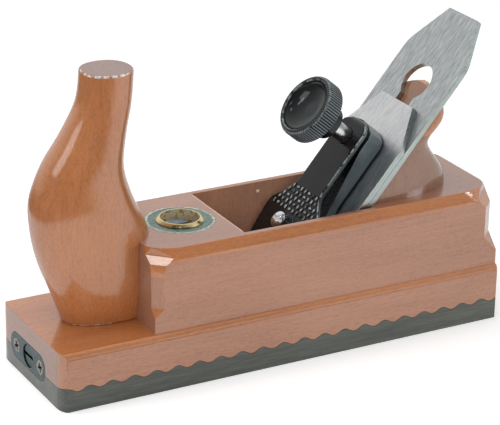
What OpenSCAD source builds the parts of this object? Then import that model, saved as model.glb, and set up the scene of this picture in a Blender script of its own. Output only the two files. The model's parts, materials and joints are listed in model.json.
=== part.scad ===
// Wooden smoothing plane with a front horn, a double iron held by a screw-down lever cap,
// a sole slip of dense wood and an adjustable mouth.
// +X runs from the toe to the heel, +Z up; the origin is the middle of the sole's face.

/* [Body] */
// Length of stock and sole
body_l = 223; // [208:1:250]
// Width of the base and the sole
body_w = 65; // [63:0.5:72]
// Height of the deck above the sole's face
deck_z = 65; // [62:0.5:72]
// Height of the toe deck in front of the raised block
toe_deck_z = 27.2; // [26:0.1:30]
// Distance from the toe to the raised block
block_x = 45.3; // [44.5:0.1:47]
// How far each side of the raised block stands back from the base
block_inset = 2.1; // [1.5:0.1:2.4]
// Height of the quarter-round moulding under that step
moulding_h = 2.8; // [1.5:0.1:3.5]
// Mean height of the wavy joint between sole and stock
joint_z = 10.2; // [9:0.1:11]
// Pitch of the joint's waves
wave_pitch = 10.6; // [8:0.1:14]
// Height of the joint's waves from trough to crest
wave_h = 2; // [1:0.1:3]

/* [Edges of the body] */
// Width of the bevel along the deck's long edges
deck_bevel_w = 2.3; // [1:0.1:3]
// Height of that bevel
deck_bevel_h = 5.7; // [3:0.1:8]
// Length of the deck's rounded corners
deck_corner_l = 17; // [8:0.5:20]
// Width of the deck's rounded corners
deck_corner_w = 10.8; // [6:0.2:13]
// Width of the upright chamfers on the raised block's front corners
front_chamfer = 4.2; // [2:0.1:6]
// Width of the upright chamfers on its heel corners
heel_chamfer = 7.2; // [2:0.1:8]
// How much wider the front chamfers flare at their top
front_flare = 1; // [0.4:0.1:2]
// Height of that flare
front_flare_h = 5; // [2:0.5:8]
// How much wider the heel chamfers flare at their top
heel_flare = 5.1; // [3:0.1:5.6]
// Height of that flare
heel_flare_h = 5.4; // [4:0.1:8]
// How far the ledges at the deck's corners start below the bevel's foot
ledge_drop = 1.2; // [0.5:0.1:2]
// How far they rise above it
ledge_rise = 2; // [1:0.1:2.5]
// How much wider a front corner's cut gets up its ledge
front_ledge = 5.3; // [3:0.1:6]
// How far a heel corner's ledge runs on along the side
heel_ledge = 11; // [4:0.5:12]
// Height at which the front chamfers begin to run out
front_stop_z = 38.2; // [34:0.2:44]
// Height of the run-out under each front chamfer
front_run = 3.2; // [1:0.1:6]
// Height at which the heel chamfers begin to run out
heel_stop_z = 41.3; // [37:0.1:46]
// Height of the run-out under each heel chamfer
heel_run = 7.3; // [3:0.1:9]
// How far the toe's rounded corners reach across its face
toe_corner_w = 7; // [3:0.5:10]
// How far they reach along the sides
toe_corner_l = 3.2; // [1:0.1:5]

/* [Throat and bed] */
// Distance from the toe to the cutting edge
mouth_x = 100.3; // [98.6:0.1:103.6]
// Slope of the bed
bed_angle = 50; // [48:0.5:52]
// Width of the throat between the cheeks
throat_w = 50.4; // [49.2:0.1:52]
// Distance from the toe to the throat's front edge at the deck
throat_x = 91.6; // [90.6:0.2:93.6]
// Opening between the cutting edge and the mouth block
mouth_gap = 2.3; // [2.2:0.1:2.6]
// Width of the groove in the bed for the cap iron screw's head
bed_groove_w = 20; // [18.5:0.5:24]
// Depth of that groove
bed_groove_d = 5; // [4.5:0.5:7]

/* [Horn] */
// Height of the horn's flat top above the sole's face
horn_z = 141; // [130:1:150]
// Width of the horn at its widest
horn_w = 36.4; // [32:0.2:40]
// Half width of the horn where its flattened rear sides meet the block
horn_rear_w = 14.4; // [12:0.2:15]

/* [Hand guard] */
// Height of the guard's top above the sole's face
guard_z = 111; // [104:0.5:118]
// Width of the guard at its foot
guard_w = 44.6; // [38:0.2:46]
// Depth of the foot from the bed plane to the rear at deck height
guard_foot_l = 47.4; // [44:0.2:50]

/* [Irons] */
// Width of the iron
iron_w = 48; // [46:0.5:48]
// Thickness of the iron
iron_t = 2.6; // [2:0.1:4]
// Length of the iron
iron_l = 183.6; // [176:0.2:190]
// Width of the iron's narrow top end
iron_top_w = 23.2; // [16:0.2:30]
// Length of the rounded shoulders at the iron's top
iron_shoulder_l = 26; // [16:0.5:30]
// Sharpening angle
grind_angle = 25; // [23:1:32]
// Width of the long slots in the iron and the cap iron
slot_w = 10.8; // [10.4:0.1:12]
// Diameter of the round opening at the top of the iron's slot
keyhole_d = 18.4; // [18:0.2:20]
// Distance from the cutting edge to the middle of that opening
keyhole_s = 146; // [143:0.5:150]
// Distance from the cutting edge to the lower end of the iron's slot
slot_start_s = 38; // [34:0.5:42]
// Thickness of the cap iron
cap_iron_t = 3; // [2.4:0.1:3.6]
// Length of the cap iron
cap_iron_l = 133; // [128:0.5:137]
// Distance of the cap iron's edge behind the cutting edge
cap_iron_set = 1; // [0.6:0.1:2]
// Width of the cap iron's top end
cap_iron_top_w = 26; // [22:0.5:34]
// Length of the cap iron's sloping shoulders
cap_iron_shoulder_l = 19.5; // [14:0.5:28]
// Distance from the cutting edge to the cap iron screw
cap_screw_s = 88; // [86:0.5:92]
// Diameter of the cap iron screw's head
cap_screw_head_d = 17; // [14:0.5:17.5]
// Thickness of that head
cap_screw_head_h = 3.6; // [2.5:0.1:4]
// Diameter of the cap iron screw's shank
cap_screw_d = 8; // [6:0.5:9]
// How far the irons can be drawn up the bed together
iron_lift = 12; // [4:0.5:20]
// How far the cap iron can be drawn up the iron
cap_iron_lift = 4; // [1:0.5:6]

/* [Lever cap] */
// Distance from the cutting edge to the lever cap's lower lip
lever_lip_s = 12; // [8:0.5:16]
// Distance from the cutting edge to the lever cap's top end
lever_top_s = 116.5; // [114:0.5:120]
// Width of the lever cap's wide lower part
lever_foot_w = 43; // [38:0.5:45]
// Width of its upper part, at the bottom edge
lever_w = 24.6; // [22:0.2:26]
// Height of its front face above the iron
lever_h = 15; // [13.5:0.1:16.5]
// Thickness of its casting
lever_wall = 4; // [3:0.1:5]
// Distance from the cutting edge to the fulcrum screw
fulcrum_s = 57.4; // [56.8:0.2:60.8]
// Diameter of the fulcrum screw's head
fulcrum_head_d = 8.4; // [8:0.1:10]
// Height of that head above the lever cap
fulcrum_head_h = 6; // [4:0.1:7]
// Diameter of the fulcrum screw's shank
fulcrum_d = 6; // [5:0.1:6.5]
// Length of the lever cap's release slide
lever_slide = 14; // [10:0.5:16]

/* [Thumbscrew] */
// Distance from the cutting edge to the thumbscrew
thumb_s = 106.2; // [104:0.2:107]
// Diameter of the knob
knob_d = 30.6; // [26:0.2:32]
// Height of the knob's rim above the iron
knob_h = 44.3; // [42:0.2:47]
// Thickness of the knurled rim
knob_rim_t = 10; // [7:0.5:12]
// Depth of the hollow in the knob's face
knob_dish = 5; // [2:0.5:6]
// Number of knurls round the rim
knob_knurls = 76; // [24:1:80]
// Depth of the knurls
knurl_depth = 0.4; // [0.2:0.1:0.5]
// Diameter of the hub under the knob
hub_d = 16; // [13:0.5:18]
// Height of the knob and its hub together
knob_total = 18; // [15:0.5:20]
// Diameter of the stud
thumb_d = 8; // [6:0.5:9]

/* [Mouth fittings] */
// Distance from the toe to the middle of the deck plate
plate_x = 72.5; // [71.5:0.1:73]
// Diameter of the round deck plate
deck_plate_d = 31.6; // [30:0.2:33]
// Thickness of the deck plate and the toe plate
plate_t = 2; // [1.5:0.1:3]
// Bore of the brass collar
collar_bore = 17.6; // [17.4:0.1:19]
// Diameter of the collar's flange
collar_flange_d = 21.4; // [21:0.1:24]
// Height of the collar above the deck
collar_proud = 1.6; // [0.8:0.1:2.5]
// Depth of the collar below the deck
collar_deep = 11; // [9:0.5:14]
// Diameter of the clamp screw's head
clamp_head_d = 12.4; // [11.5:0.1:12.6]
// Height of the clamp screw's head
clamp_head_h = 9; // [7:0.1:10]
// Diameter of the clamp screw's shank
clamp_d = 8; // [6:0.5:8]
// Place of the clamp screw in its collar, towards the toe
clamp_back = 1.5; // [0:0.1:1.6]
// Travel of the mouth block towards the toe
mouth_open = 1; // [0.5:0.1:1.1]
// Travel of the mouth block towards the iron
mouth_close = 1; // [0.5:0.1:1.1]
// Length of the mouth block at the sole
mouth_block_l = 44; // [43:0.5:46]
// Width of the mouth block
mouth_block_w = 49; // [44:0.5:50]
// Thickness of the mouth block
mouth_block_t = 19; // [18.5:0.5:21]
// Sideways place of the toe plate
toe_plate_y = 3.8; // [0:0.2:5]
// Height of the toe plate's middle
toe_plate_z = 12.1; // [11.5:0.1:13]
// Length of the toe plate
toe_plate_l = 37.2; // [33:0.2:40]
// Height of the toe plate
toe_plate_w = 12.4; // [12:0.2:14]
// Spacing of the toe plate's screws
toe_screw_pitch = 25.2; // [22:0.2:27]
// Diameter of the adjusting screw
adjuster_d = 6; // [5:0.5:6.5]

/* [Fasteners] */
// Diameter of the wood screws' heads
wood_screw_head_d = 7; // [5.5:0.1:7.5]
// Diameter of the wood screws' shanks
wood_screw_d = 3.2; // [2.5:0.1:3.5]
// Diameter of the dowels
dowel_d = 8; // [6:0.5:10]

/* [Hidden] */
$fn = 48;
// Small overshoot that keeps cuts clean
eps = 1;
// Radial running clearance of turning shanks
run = 0.05;
// Clearance of sliding pieces
slide_gap = 0.15;
// Thickness of the thin slices that a hull joins
slice = 0.02;

half_w = body_w / 2;
block_half_w = half_w - block_inset;
deck_bevel_z = deck_z - deck_bevel_h;
wave_count = ceil(body_l / wave_pitch) + 1;
iron_back_dx = iron_t / sin(bed_angle);

// Places along the body are measured from the toe
module from_toe() { translate([-body_l / 2, 0, 0]) children(); }

// Frame of the irons: X up along the iron from the cutting edge, Z square out of its front face
module on_bed() { from_toe() translate([mouth_x, 0, 0]) rotate([0, -bed_angle, 0]) children(); }

// Outline made whole from its half on the +Y side
function mirrored(side) = concat(side, [for (i = [len(side) - 1 : -1 : 0]) [side[i][0], -side[i][1]]]);

// Extrudes an outline drawn in X and Z sideways, w wide about the middle
module side_extrude(w) { rotate([90, 0, 0]) linear_extrude(w, center = true) children(); }

// Distance of the bed plane from the toe at height z
function bed_x(z) = mouth_x + iron_back_dx + z / tan(bed_angle);

// Wavy joint
function wave_z(x) = joint_z + wave_h / 2 * cos(360 * (x - wave_pitch * 1.23) / wave_pitch);
wave_steps = 8;
wave_line = [for (i = [-wave_steps : wave_count * wave_steps])
    let (x = i * wave_pitch / wave_steps) [x, wave_z(x)]];
wave_end_x = wave_line[len(wave_line) - 1][0];

// Plan of stock and sole, with the toe's corners rounded off
function toe_corner(side) = [for (a = [0 : 15 : 90])
    [toe_corner_l * (1 - cos(a)), side * (half_w - toe_corner_w * (1 - sin(a)))]];
base_plan = concat(
    [[body_l, half_w], [body_l, -half_w]],
    [for (i = [6 : -1 : 0]) toe_corner(-1)[i]], toe_corner(1));

// Cross-section of the base with its quarter-round shoulders, drawn in Y and Z
quirk = 0.35;
moulding_w = block_inset - quirk / 2;
function shoulder(side) = [for (a = [0 : 15 : 90])
    [side * (half_w - quirk / 2 - moulding_w * (1 - cos(a))),
     toe_deck_z - moulding_h + quirk + (moulding_h - quirk) * sin(a)]];
base_section = concat(
    [[-half_w, -eps], [-half_w, toe_deck_z - moulding_h], [quirk / 2 - half_w, toe_deck_z - moulding_h]],
    shoulder(-1),
    [for (i = [6 : -1 : 0]) shoulder(1)[i]],
    [[half_w - quirk / 2, toe_deck_z - moulding_h], [half_w, toe_deck_z - moulding_h], [half_w, -eps]]);

// Deck outline: straight edges with long elliptical corners
deck_half_w = block_half_w - deck_bevel_w;
deck_rear_x = body_l - deck_bevel_w;
function corner_arc(x, sx, sy, from) = [for (a = [from : 15 : from + 90])
    [x + deck_corner_l * cos(a), sy * (deck_half_w - deck_corner_w) + deck_corner_w * sin(a)]];
deck_plan = concat(
    corner_arc(block_x + deck_corner_l, -1, -1, 180), corner_arc(deck_rear_x - deck_corner_l, 1, -1, 270),
    corner_arc(deck_rear_x - deck_corner_l, 1, 1, 0), corner_arc(block_x + deck_corner_l, -1, 1, 90));
// Outlines of the raised block below the deck; the upright chamfers cut a little into them.
// Up each ledge the front corner's cut widens evenly, and the heel's runs on along the side
chamfer_bite = 0.3;
heel_slant = 0.3;
ledge_foot_z = deck_bevel_z - ledge_drop;
ledge_top_z = deck_bevel_z + ledge_rise;
front_foot = front_chamfer + front_flare - chamfer_bite;
heel_foot = heel_chamfer - chamfer_bite;
function up_ledge(z) = (z - ledge_foot_z) / (ledge_drop + ledge_rise);
function front_cut(z) = front_foot + up_ledge(z) * (front_ledge + chamfer_bite);
function heel_cut(z) = heel_foot + up_ledge(z) * heel_ledge;
function heel_corner(z) = heel_foot + up_ledge(z) * heel_flare;
function side_inset(z) = max(z - deck_bevel_z, 0) * deck_bevel_w / deck_bevel_h;
function ledge_plan(z) = let (
        inset = side_inset(z), rear_w = heel_corner(z),
        rear_l = (rear_w - heel_slant * heel_cut(z)) / (1 - heel_slant))
    mirrored([
        [block_x, block_half_w - front_cut(z)], [block_x + front_cut(z) - inset, block_half_w - inset],
        [body_l - heel_cut(z) + inset / heel_slant, block_half_w - inset],
        [body_l - rear_l, block_half_w - rear_w + rear_l], [body_l, block_half_w - rear_w]]);
foot_plan = mirrored([
    [block_x, block_half_w - front_foot], [block_x + front_foot, block_half_w],
    [body_l - heel_foot, block_half_w], [body_l, block_half_w - heel_foot]]);
module level(z) { translate([0, 0, z - slice]) linear_extrude(slice) children(); }

// Height at which a front corner's flared chamfer meets its ledge
front_flare_z = ledge_foot_z + chamfer_bite * (ledge_drop + ledge_rise) / (front_ledge + chamfer_bite);

// Wedge that takes an upright corner off at (x, y), c wide, running out to nothing below height z
// and wider by flare from height top_z, where that flare is h high
module corner_wedge(x, y, turn, c, z, run_out, flare, top_z, h) {
    deep = c / sqrt(2);
    top_deep = (c + flare) / sqrt(2);
    translate([x, y, 0]) rotate([0, 0, turn]) side_extrude(2 * top_deep + eps)
        polygon([[-deep, z], [0, z - run_out], [eps, z - run_out], [eps, deck_z + eps],
                 [-top_deep, deck_z + eps], [-top_deep, top_z], [-deep, top_z - h]]);
}

// Mouth block, its pocket and the throat
block_rear_x = mouth_x - mouth_gap;
block_front_x = block_rear_x - mouth_block_l;
pocket_front_x = block_front_x - mouth_open - slide_gap * 4;
throat_slope = (throat_x - block_rear_x + 0.8) / (deck_z - mouth_block_t);
function throat_front_x(z) = throat_x - throat_slope * (deck_z - z);

module throat_cut() {
    side_extrude(throat_w) polygon([
        [throat_front_x(deck_z + eps), deck_z + eps], [throat_front_x(mouth_block_t), mouth_block_t],
        [throat_front_x(mouth_block_t), -eps], [bed_x(-eps), -eps], [bed_x(deck_z + eps), deck_z + eps]]);
}

module pocket_cut() {
    translate([pocket_front_x, -mouth_block_w / 2 - slide_gap, -eps])
        cube([mouth_x - pocket_front_x, mouth_block_w + 2 * slide_gap, mouth_block_t + slide_gap + eps]);
}

// Adjusting screw's bores along X, from the toe inwards
flange_t = 2.1;
flange_d = toe_plate_w - 0.5;
adjuster_head_d = flange_d - 1.7;
module adjuster_axis() { translate([0, toe_plate_y, toe_plate_z]) rotate([0, 90, 0]) children(); }
module adjuster_cut() {
    adjuster_axis() {
        translate([0, 0, -eps])
            cylinder(d = flange_d + 4 * run, h = plate_t + flange_t + 2 * run + eps);
        cylinder(d = adjuster_d + 0.6, h = pocket_front_x + eps);
    }
}

// Stadium-shaped outline of the toe plate, drawn in Y and Z
module toe_plate_outline() {
    for (side = [-1, 1])
        translate([side * (toe_plate_l - toe_plate_w) / 2, 0]) circle(d = toe_plate_w);
    square([toe_plate_l - toe_plate_w, toe_plate_w], center = true);
}
module toe_plate_solid(from, to) {
    translate([from, toe_plate_y, toe_plate_z]) rotate([90, 0, 90])
        linear_extrude(to - from) toe_plate_outline();
}

// Countersunk wood screw pointing along -Z from its head's face
screw_rim = 0.1;
module wood_screw(head_d, d, l) {
    sink = (head_d - d) / 2;
    rotate_extrude() polygon([
        [0, 0], [head_d / 2, 0], [head_d / 2, -screw_rim], [d / 2, -screw_rim - sink],
        [d / 2, 1.5 * d - l], [0, -l]]);
}
module cross_recess(size) {
    for (turn = [0, 90]) rotate([0, 0, turn + 20]) cube([size, size * 0.24, 2.4], center = true);
}
toe_screw_l = 16;
module at_toe_screws() {
    for (side = [-1, 1])
        translate([0, toe_plate_y - 0.25 + side * toe_screw_pitch / 2, toe_plate_z])
            rotate([0, -90, 0]) children();
}

// Clamp fittings
clamp_x = plate_x - clamp_back;
collar_floor_z = deck_z - collar_deep;
collar_floor_t = 2;
collar_body_d = collar_bore + 2.6;
clamp_slot_l = clamp_d + 2 * (mouth_open + clamp_back) + 0.6;
clamp_nut_t = 3;
clamp_nut_l = 18;
clamp_nut_w = 30;
clamp_boss_d = 12;
clamp_end_z = 5;
clamp_screw_w = 20;
clamp_head_slot_w = 2;
clamp_head_slot_deep = 1.7;
module clamp_slot(extra, z0, z1) {
    translate([plate_x, 0, z0]) linear_extrude(z1 - z0) {
        for (side = [-1, 1])
            translate([side * (clamp_slot_l - clamp_d) / 2, 0]) circle(d = clamp_d + extra);
        square([clamp_slot_l - clamp_d, clamp_d + extra], center = true);
    }
}
// Seat of the deck plate and the collar, and the screw's way down to the pocket
module clamp_cut() {
    translate([plate_x, 0, deck_z - plate_t]) cylinder(d = deck_plate_d, h = plate_t + eps);
    translate([plate_x, 0, collar_floor_z - collar_floor_t])
        cylinder(d = collar_body_d, h = collar_deep + eps);
    clamp_slot(1.2, mouth_block_t, deck_z);
}

// Fulcrum screw and its insert
insert_d = 13;
insert_l = 16;
module fulcrum_axis() { on_bed() translate([fulcrum_s, 0, 0]) children(); }
fulcrum_head_foot_h = lever_h + 0.2;

dowel_l = 22;
horn_dowel_x = [block_x - 20, block_x - 8];
guard_dowel_x = [bed_x(deck_z) + 19, bed_x(deck_z) + 33];
dowel_sink = 11;
module dowels(xs, z) {
    for (x = xs) translate([x, 0, z - dowel_sink]) cylinder(d = dowel_d, h = dowel_l);
}

module stock() color([0.74, 0.47, 0.29]) from_toe() difference() {
    union() {
        intersection() {
            linear_extrude(toe_deck_z) polygon(base_plan);
            rotate([90, 0, 90]) linear_extrude(body_l) polygon(base_section);
            side_extrude(body_w + eps) polygon(concat(wave_line,
                [[wave_end_x, toe_deck_z + eps], [wave_line[0][0], toe_deck_z + eps]]));
        }
        translate([block_x, -block_half_w, toe_deck_z - moulding_h])
            cube([body_l - block_x, 2 * block_half_w, ledge_foot_z - toe_deck_z + moulding_h]);
        hull() {
            level(ledge_foot_z) polygon(foot_plan);
            level(deck_bevel_z) polygon(ledge_plan(deck_bevel_z));
            level(ledge_top_z) polygon(ledge_plan(ledge_top_z));
        }
        hull() {
            level(ledge_top_z) polygon(ledge_plan(ledge_top_z));
            level(deck_z) polygon(deck_plan);
        }
    }
    for (side = [-1, 1]) {
        corner_wedge(block_x, side * block_half_w, side * 135, front_chamfer, front_stop_z, front_run,
            front_flare, front_flare_z, front_flare_h);
        corner_wedge(body_l, side * block_half_w, side * 45, heel_chamfer, heel_stop_z, heel_run,
            heel_flare, ledge_top_z, heel_flare_h);
    }
    throat_cut();
    pocket_cut();
    clamp_cut();
    adjuster_cut();
    toe_plate_solid(-eps, plate_t);
    at_toe_screws() wood_screw(wood_screw_head_d, wood_screw_d, toe_screw_l);
    dowels(horn_dowel_x, toe_deck_z);
    dowels(guard_dowel_x, deck_z);
    bed_groove();
    insert_bore();
}

// Groove down the bed for the cap iron screw's head, and the insert's bore
groove_start_s = cap_screw_s - cap_screw_head_d / 2 - 6;
groove_end_s = cap_screw_s + cap_screw_head_d / 2 + iron_lift + cap_iron_lift + 2;
module bed_groove() {
    translate([mouth_x, 0, 0]) rotate([0, -bed_angle, 0])
        translate([groove_start_s, -bed_groove_w / 2, -iron_t - bed_groove_d])
            cube([groove_end_s - groove_start_s, bed_groove_w, bed_groove_d + eps]);
}
module insert_bore() {
    translate([mouth_x, 0, 0]) rotate([0, -bed_angle, 0])
        translate([fulcrum_s, 0, -iron_t - insert_l]) cylinder(d = insert_d, h = insert_l + eps);
}

module sole() color([0.32, 0.35, 0.31]) from_toe() difference() {
    intersection() {
        linear_extrude(joint_z + wave_h) polygon(base_plan);
        side_extrude(body_w + eps) polygon(concat(wave_line, [[wave_end_x, 0], [wave_line[0][0], 0]]));
    }
    throat_cut();
    pocket_cut();
    adjuster_cut();
    toe_plate_solid(-eps, plate_t);
    at_toe_screws() wood_screw(wood_screw_head_d, wood_screw_d, toe_screw_l);
}

// Horn: places of its front and rear from the block's face, and its half width as a share of the
// greatest, each given at even heights from the foot to the top
horn_front = [-30.1, -35.1, -40.5, -43.6, -43.8, -38.3, -29, -21.9, -19.9];
horn_rear = [15.1, 12.5, 11.8, 8.6, 1.8, -2.2, -0.9, 2, 3.2];
horn_half = [0.67, 0.857, 0.962, 1, 0.984, 0.896, 0.758, 0.643, 0.626];
horn_sides = 32;
horn_levels = 22;
function rounded(c, power) = sign(c) * pow(abs(c), power);
// Smooth curve through evenly spaced values, at t from 0 to 1
function knot(v, i) = let (n = len(v) - 1)
    i < 0 ? 2 * v[0] - v[1] : i > n ? 2 * v[n] - v[n - 1] : v[i];
function through(v, t) = let (
        n = len(v) - 1, i = min(floor(t * n), n - 1), u = t * n - i,
        a = knot(v, i - 1), b = knot(v, i), c = knot(v, i + 1), d = knot(v, i + 2))
    b + u * (c - a + u * (2 * a - 5 * b + 4 * c - d + u * (3 * b - a - 3 * c + d))) / 2;
function horn_ring(t) = let (
        z = toe_deck_z + t * (horn_z - toe_deck_z), half = through(horn_half, t) * horn_w / 2,
        front = block_x + through(horn_front, t), rear = block_x + through(horn_rear, t))
    [for (i = [0 : horn_sides - 1]) let (a = 360 * i / horn_sides)
        [(front + rear) / 2 + (rear - front) / 2 * rounded(cos(a), 0.91), half * rounded(sin(a), 0.91), z]];
// Closed skin over equal rings of points
function ring_faces(rings, n) = concat(
    [[for (i = [0 : n - 1]) n - 1 - i]],
    [for (k = [0 : rings - 2], i = [0 : n - 1]) let (j = (i + 1) % n)
        [k * n + i, k * n + j, (k + 1) * n + j, (k + 1) * n + i]],
    [[for (i = [0 : n - 1]) (rings - 1) * n + i]]);
module skin(rings) {
    n = len(rings[0]);
    polyhedron([for (r = rings) each r], ring_faces(len(rings), n), convexity = 4);
}
horn_facet_l = 7;
horn_facet_w = 3;
module horn() color([0.72, 0.45, 0.28]) from_toe() difference() {
    skin([for (k = [0 : horn_levels]) horn_ring(k / horn_levels)]);
    translate([block_x, -half_w, 0]) cube([body_w, body_w, deck_z]);
    for (side = [-1, 1]) translate([block_x, side * horn_rear_w, 0])
        rotate([0, 0, side * -atan(horn_facet_w / horn_facet_l)])
            translate([-2 * horn_facet_l, side > 0 ? 0 : -horn_w, 0])
                cube([4 * horn_facet_l, horn_w, deck_z - 1]);
    dowels(horn_dowel_x, toe_deck_z);
}

// Hand guard: rings cut off by the bed plane; each row gives the height's share, the share of the
// foot's depth that its rear reaches, and the share of the half width
guard_rows = [
    [0, 1, 1], [0.085, 0.99, 0.99], [0.18, 0.95, 0.975], [0.27, 0.89, 0.955], [0.35, 0.83, 0.94],
    [0.42, 0.782, 0.925], [0.475, 0.757, 0.91], [0.52, 0.758, 0.9], [0.565, 0.79, 0.88], [0.61, 0.85, 0.855],
    [0.655, 0.905, 0.83], [0.7, 0.942, 0.8], [0.77, 0.957, 0.75], [0.86, 0.945, 0.63], [0.93, 0.92, 0.47],
    [0.975, 0.89, 0.29], [1, 0.87, 0.12]];
guard_sides = 40;
guard_round = 0.58;
guard_front_over = 4;
guard_cut_t = 20;
function guard_ring(r) = let (
        z = deck_z + r[0] * (guard_z - deck_z), front = bed_x(z), half = guard_w / 2 * r[2],
        deep = max(r[1] * guard_foot_l + bed_x(deck_z) - front, 3))
    [for (i = [0 : guard_sides - 1]) let (a = 360 * i / guard_sides)
        [front + (cos(a) > 0 ? deep * rounded(cos(a), guard_round) : guard_front_over * cos(a)),
         half * rounded(sin(a), guard_round), z]];
module hand_guard() color([0.70, 0.46, 0.31]) from_toe() difference() {
    skin([for (r = guard_rows) guard_ring(r)]);
    dowels(guard_dowel_x, deck_z);
    bed_groove();
    translate([mouth_x, 0, 0]) rotate([0, -bed_angle, 0]) translate([0, -body_w / 2, -iron_t])
        cube([iron_l, body_w, iron_t + guard_cut_t]);
}

module horn_dowels() color([0.82, 0.66, 0.45]) from_toe() dowels(horn_dowel_x, toe_deck_z);
module guard_dowels() color([0.82, 0.66, 0.45]) from_toe() dowels(guard_dowel_x, deck_z);

module mouth_block() color([0.34, 0.36, 0.31]) from_toe() difference() {
    side_extrude(mouth_block_w) polygon([
        [block_front_x, 0], [block_rear_x, 0],
        [block_rear_x - 0.8, mouth_block_t], [block_front_x, mouth_block_t]]);
    clamp_nut_solid(run);
    translate([clamp_x, 0, clamp_end_z - 1.5]) cylinder(d = clamp_d + 1, h = mouth_block_t);
    translate([block_front_x - eps, 0, 0]) adjuster_axis() {
        cylinder(d = adjusting_nut_d, h = adjusting_nut_l + eps);
        cylinder(d = adjuster_d + 0.6, h = adjusting_nut_l + 2 + eps);
    }
    at_clamp_nut_screws() translate([0, 0, -clamp_nut_screw_l - 0.5])
        cylinder(d = clamp_nut_screw_d, h = clamp_nut_screw_l);
}

adjusting_nut_d = 9;
adjusting_nut_l = 7;
clamp_nut_screw_l = 10;
clamp_nut_screw_d = 2.5;
clamp_nut_screw_head_d = 5;
module at_clamp_nut_screws() {
    for (side = [-1, 1]) translate([clamp_x, side * clamp_screw_w / 2, mouth_block_t]) children();
}
module clamp_nut_solid(gap) {
    translate([clamp_x - clamp_nut_l / 2 - gap, -clamp_nut_w / 2 - gap, mouth_block_t - clamp_nut_t])
        cube([clamp_nut_l + 2 * gap, clamp_nut_w + 2 * gap, clamp_nut_t + gap]);
    translate([clamp_x, 0, clamp_end_z + 1])
        cylinder(d = clamp_boss_d + 2 * gap, h = mouth_block_t - clamp_end_z - 2);
}

module clamp_nut() color([0.83, 0.66, 0.32]) from_toe() difference() {
    clamp_nut_solid(0);
    translate([clamp_x, 0, 0]) cylinder(d = clamp_d + 2 * run, h = deck_z);
    at_clamp_nut_screws() {
        wood_screw(clamp_nut_screw_head_d, clamp_nut_screw_d, clamp_nut_screw_l);
        translate([0, 0, -clamp_nut_t - eps]) cylinder(d = clamp_nut_screw_d, h = clamp_nut_t + eps);
    }
}

module clamp_nut_screws() color([0.7, 0.7, 0.72]) from_toe() at_clamp_nut_screws() difference() {
    wood_screw(clamp_nut_screw_head_d, clamp_nut_screw_d, clamp_nut_screw_l);
    cube([clamp_nut_screw_head_d, 0.7, 1], center = true);
}

module clamp_screw() color([0.2, 0.21, 0.24]) from_toe() translate([clamp_x, 0, 0]) difference() {
    union() {
        translate([0, 0, clamp_end_z]) cylinder(d = clamp_d, h = collar_floor_z - clamp_end_z);
        translate([0, 0, collar_floor_z]) cylinder(d = clamp_head_d, h = clamp_head_h);
    }
    translate([0, 0, collar_floor_z + clamp_head_h])
        cube([clamp_head_d + eps, clamp_head_slot_w, 2 * clamp_head_slot_deep], center = true);
}

module clamp_bush() color([0.84, 0.68, 0.35]) from_toe() difference() {
    translate([plate_x, 0, 0]) rotate_extrude() polygon([
        [0, collar_floor_z - collar_floor_t], [collar_body_d / 2, collar_floor_z - collar_floor_t],
        [collar_body_d / 2, deck_z], [collar_flange_d / 2, deck_z], [collar_flange_d / 2, deck_z + 0.4],
        [collar_bore / 2 + 0.7, deck_z + collar_proud], [collar_bore / 2, deck_z + collar_proud],
        [collar_bore / 2, collar_floor_z], [0, collar_floor_z]]);
    clamp_slot(0.6, collar_floor_z - collar_floor_t - eps, deck_z);
}

module deck_plate() color([0.52, 0.6, 0.56]) from_toe() translate([plate_x, 0, deck_z - plate_t])
    difference() {
        cylinder(d = deck_plate_d, h = plate_t);
        translate([0, 0, -eps]) cylinder(d = collar_body_d, h = plate_t + 2 * eps);
    }

module toe_plate() color([0.55, 0.6, 0.62]) from_toe() difference() {
    toe_plate_solid(0, plate_t);
    adjuster_axis() translate([0, 0, -eps]) cylinder(d = adjuster_head_d + 0.4, h = plate_t + 2 * eps);
    at_toe_screws() wood_screw(wood_screw_head_d, wood_screw_d, toe_screw_l);
}

module toe_plate_screws() color([0.75, 0.75, 0.77]) from_toe() at_toe_screws() difference() {
    wood_screw(wood_screw_head_d, wood_screw_d, toe_screw_l);
    cross_recess(wood_screw_head_d * 0.62);
}

adjuster_end_x = block_front_x + adjusting_nut_l - mouth_open;
module adjusting_screw() color([0.5, 0.54, 0.54]) from_toe() adjuster_axis() difference() {
    union() {
        translate([0, 0, 0.6]) cylinder(d = adjuster_head_d, h = plate_t);
        translate([0, 0, plate_t + run]) cylinder(d = flange_d, h = flange_t - run);
        translate([0, 0, plate_t + flange_t - run])
            cylinder(d = adjuster_d, h = adjuster_end_x - plate_t - flange_t);
    }
    translate([0, 0, 0.6]) cube([1.4, flange_d, 2.6], center = true);
}

module adjusting_nut() color([0.83, 0.66, 0.32]) from_toe()
    translate([block_front_x, 0, 0]) adjuster_axis() difference() {
        cylinder(d = adjusting_nut_d, h = adjusting_nut_l);
        translate([0, 0, -eps]) cylinder(d = adjuster_d + 2 * run, h = adjusting_nut_l + 2 * eps);
    }

// Outlines of the irons in their own plane, cutting edge at 0
module long_slot(s0, s1, w) {
    translate([s0, -w / 2]) square([s1 - s0, w]);
    for (s = [s0, s1]) translate([s, 0]) circle(d = w);
}

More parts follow.
